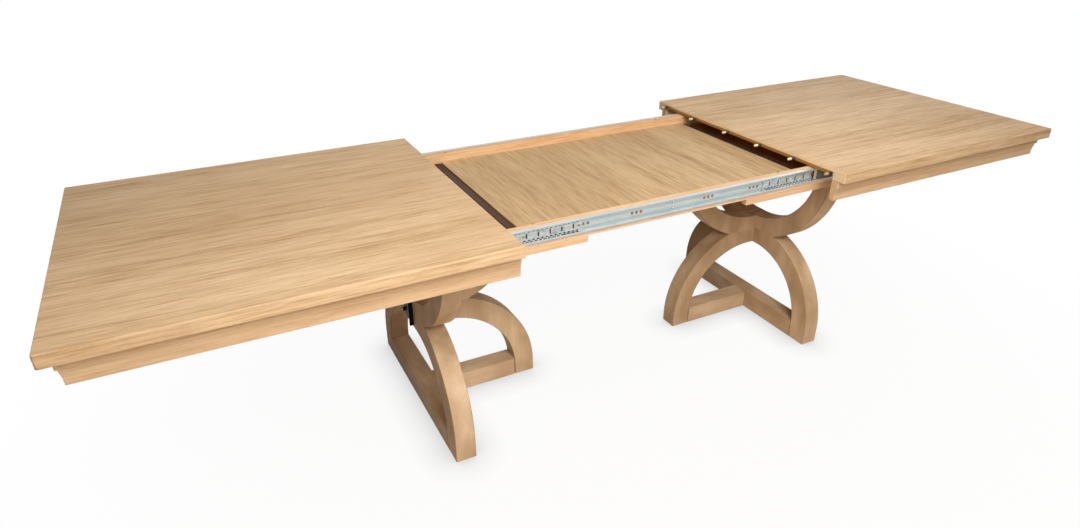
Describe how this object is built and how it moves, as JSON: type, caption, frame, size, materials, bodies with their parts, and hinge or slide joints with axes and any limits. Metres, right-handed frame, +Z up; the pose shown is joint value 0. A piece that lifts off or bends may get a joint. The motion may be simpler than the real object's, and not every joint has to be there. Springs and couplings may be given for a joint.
{
  "type": "extending trestle dining table",
  "caption": "Rectangular dining table on two arched pedestals, its tops drawn apart on ball-bearing slides over a stored leaf.",
  "frame": {"origin": "on the floor, under the middle of the table", "axes": "+X along the table's length, +Z up, -Y towards the front"},
  "size_m": [3.2846, 1.016, 0.762],
  "materials": {
    "oak_top": "light oak, satin lacquer",
    "oak_apron": "light oak, satin lacquer",
    "pedestal_oak": "light oak, satin lacquer",
    "rail_wood": "planed pale hardwood",
    "leaf_oak": "light oak, satin lacquer",
    "pin_wood": "bare beech",
    "zinc_steel": "zinc plated",
    "black_steel": "black, satin"
  },
  "bodies": {
    "root": {"front_rail": "rail_wood", "back_rail": "rail_wood", "front_ledger": "rail_wood", "back_ledger": "rail_wood", "left_front_batten": "rail_wood", "right_front_batten": "rail_wood", "left_back_batten": "rail_wood", "right_back_batten": "rail_wood", "left_inner_cross_rail": "rail_wood", "left_outer_cross_rail": "rail_wood", "left_end_rail": "rail_wood", "right_inner_cross_rail": "rail_wood", "right_outer_cross_rail": "rail_wood", "right_end_rail": "rail_wood", "left_leaf_stop": "black_steel", "right_leaf_stop": "black_steel", "front_slide_channel": "zinc_steel", "back_slide_channel": "zinc_steel", "left_front_leg": "pedestal_oak", "left_back_leg": "pedestal_oak", "left_inner_leg": "pedestal_oak", "left_front_arm": "pedestal_oak", "left_back_arm": "pedestal_oak", "left_inner_arm": "pedestal_oak", "left_cross_stretcher": "pedestal_oak", "left_inner_stretcher": "pedestal_oak", "left_waist_bracket": "black_steel", "right_front_leg": "pedestal_oak", "right_back_leg": "pedestal_oak", "right_inner_leg": "pedestal_oak", "right_front_arm": "pedestal_oak", "right_back_arm": "pedestal_oak", "right_inner_arm": "pedestal_oak", "right_cross_stretcher": "pedestal_oak", "right_inner_stretcher": "pedestal_oak", "right_waist_bracket": "black_steel"},
    "left_half": {"left_top": "oak_top", "left_end_apron": "oak_apron", "left_front_apron": "oak_apron", "left_back_apron": "oak_apron", "left_front_slide_member": "zinc_steel", "left_back_slide_member": "zinc_steel"},
    "right_half": {"right_top": "oak_top", "right_end_apron": "oak_apron", "right_front_apron": "oak_apron", "right_back_apron": "oak_apron", "right_front_slide_member": "zinc_steel", "right_back_slide_member": "zinc_steel", "dowel_pin_1": "pin_wood", "dowel_pin_2": "pin_wood", "dowel_pin_3": "pin_wood", "dowel_pin_4": "pin_wood", "dowel_pin_5": "pin_wood", "dowel_pin_6": "pin_wood"},
    "leaf": {"stored_leaf": "leaf_oak"},
    "left_front_cage": {"left_front_ball_cage": "zinc_steel"},
    "left_back_cage": {"left_back_ball_cage": "zinc_steel"},
    "right_front_cage": {"right_front_ball_cage": "zinc_steel"},
    "right_back_cage": {"right_back_ball_cage": "zinc_steel"}
  },
  "joints": [
    {"name": "left_top_slide", "type": "slide", "parent": "root", "child": "left_half", "axis": [1, 0, 0], "range_m": [0, 0.565]},
    {"name": "right_top_slide", "type": "slide", "parent": "root", "child": "right_half", "axis": [-1, 0, 0], "range_m": [0, 0.565]},
    {"name": "leaf_lift", "type": "slide", "parent": "root", "child": "leaf", "axis": [0, 0, 1], "range_m": [0, 0.03]},
    {"name": "left_front_cage_slide", "type": "slide", "parent": "root", "child": "left_front_cage", "axis": [1, 0, 0], "range_m": [0, 0.2825]},
    {"name": "left_back_cage_slide", "type": "slide", "parent": "root", "child": "left_back_cage", "axis": [1, 0, 0], "range_m": [0, 0.2825]},
    {"name": "right_front_cage_slide", "type": "slide", "parent": "root", "child": "right_front_cage", "axis": [-1, 0, 0], "range_m": [0, 0.2825]},
    {"name": "right_back_cage_slide", "type": "slide", "parent": "root", "child": "right_back_cage", "axis": [-1, 0, 0], "range_m": [0, 0.2825]}
  ],
  "couplings": [
    {"joint": "left_front_cage_slide", "follows": "left_top_slide", "ratio": 0.5},
    {"joint": "left_back_cage_slide", "follows": "left_top_slide", "ratio": 0.5},
    {"joint": "right_front_cage_slide", "follows": "right_top_slide", "ratio": 0.5},
    {"joint": "right_back_cage_slide", "follows": "right_top_slide", "ratio": 0.5}
  ]
}
